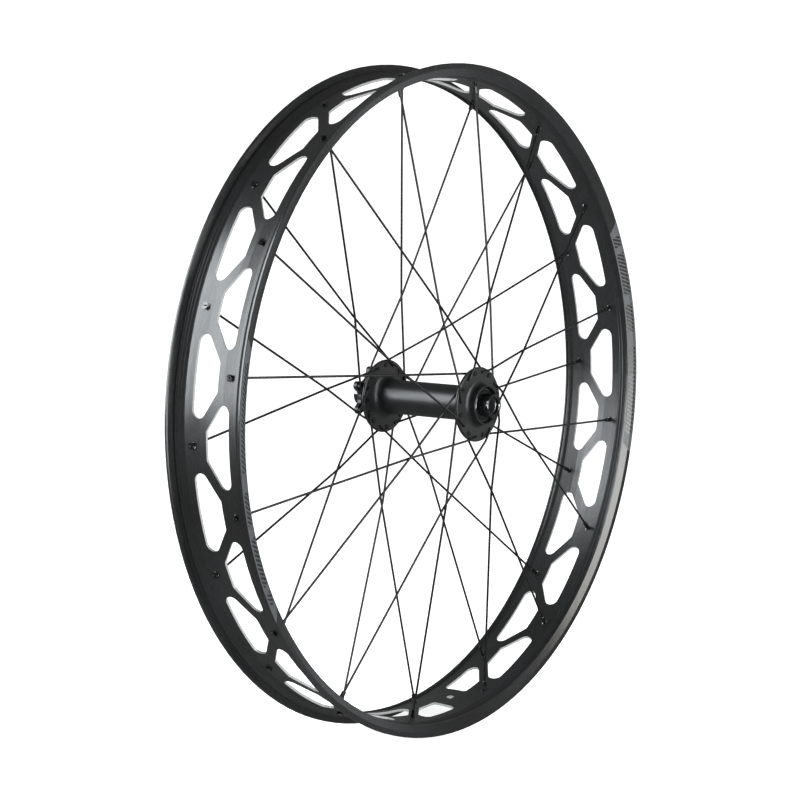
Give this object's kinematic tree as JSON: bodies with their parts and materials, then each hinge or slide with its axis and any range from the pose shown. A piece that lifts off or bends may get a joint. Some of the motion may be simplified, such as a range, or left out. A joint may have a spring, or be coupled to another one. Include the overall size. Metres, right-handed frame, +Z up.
{
  "type": "spoked wheel",
  "caption": "Spoked front wheel for a fat-tyre bicycle: wide single-wall rim with cutouts, black spokes, and a thru-axle hub with a bolted brake disc mount.",
  "frame": {"origin": "wheel's centre: on the axle's line, in the middle plane of the rim", "axes": "Y is the axle: -Y is the wheel's right-hand side and +Y its left-hand side with the disc mount. +Z is up and +X completes the frame; the valve hole lies near -Z."},
  "size_m": [0.596, 0.15, 0.596],
  "materials": {
    "rim_black": "satin black anodised aluminium",
    "hub_black": "smooth black anodised aluminium",
    "axle_alloy": "turned aluminium",
    "cap_black": "black anodised aluminium",
    "o_ring_rubber": "black rubber",
    "race_steel": "ground bearing steel",
    "ball_steel": "polished bearing steel",
    "cage_nylon": "natural nylon",
    "seal_rubber": "black rubber",
    "nipple_black": "black plated brass",
    "spoke_black": "black coated stainless steel"
  },
  "bodies": {
    "axle": {"axle_tube": "axle_alloy", "right_end_cap": "cap_black", "left_end_cap": "cap_black", "cap_o_rings": "o_ring_rubber", "right_inner_race": "race_steel", "left_inner_race": "race_steel"},
    "wheel": {"rim": "rim_black", "hub_shell": "hub_black", "right_outer_race": "race_steel", "left_outer_race": "race_steel", "right_seals": "seal_rubber", "left_seals": "seal_rubber", "right_nipples": "nipple_black", "left_nipples": "nipple_black", "spoke_1": "spoke_black", "spoke_2": "spoke_black", "spoke_3": "spoke_black", "spoke_4": "spoke_black", "spoke_5": "spoke_black", "spoke_6": "spoke_black", "spoke_7": "spoke_black", "spoke_8": "spoke_black", "spoke_9": "spoke_black", "spoke_10": "spoke_black", "spoke_11": "spoke_black", "spoke_12": "spoke_black", "spoke_13": "spoke_black", "spoke_14": "spoke_black", "spoke_15": "spoke_black", "spoke_16": "spoke_black", "spoke_17": "spoke_black", "spoke_18": "spoke_black", "spoke_19": "spoke_black", "spoke_20": "spoke_black", "spoke_21": "spoke_black", "spoke_22": "spoke_black", "spoke_23": "spoke_black", "spoke_24": "spoke_black", "spoke_25": "spoke_black", "spoke_26": "spoke_black", "spoke_27": "spoke_black", "spoke_28": "spoke_black", "spoke_29": "spoke_black", "spoke_30": "spoke_black", "spoke_31": "spoke_black", "spoke_32": "spoke_black"},
    "right_ball_set": {"right_balls": "ball_steel", "right_cage": "cage_nylon"},
    "left_ball_set": {"left_balls": "ball_steel", "left_cage": "cage_nylon"}
  },
  "joints": [
    {"name": "wheel_spin", "type": "hinge", "parent": "axle", "child": "wheel", "pos_m": [0, 0, 0], "axis": [0, 1, 0], "continuous": true},
    {"name": "right_ball_orbit", "type": "hinge", "parent": "axle", "child": "right_ball_set", "pos_m": [0, -0.0585, 0], "axis": [0, 1, 0], "continuous": true},
    {"name": "left_ball_orbit", "type": "hinge", "parent": "axle", "child": "left_ball_set", "pos_m": [0, 0.0565, 0], "axis": [0, 1, 0], "continuous": true}
  ],
  "couplings": [
    {"joint": "right_ball_orbit", "follows": "wheel_spin", "ratio": 0.5844},
    {"joint": "left_ball_orbit", "follows": "wheel_spin", "ratio": 0.5844}
  ]
}
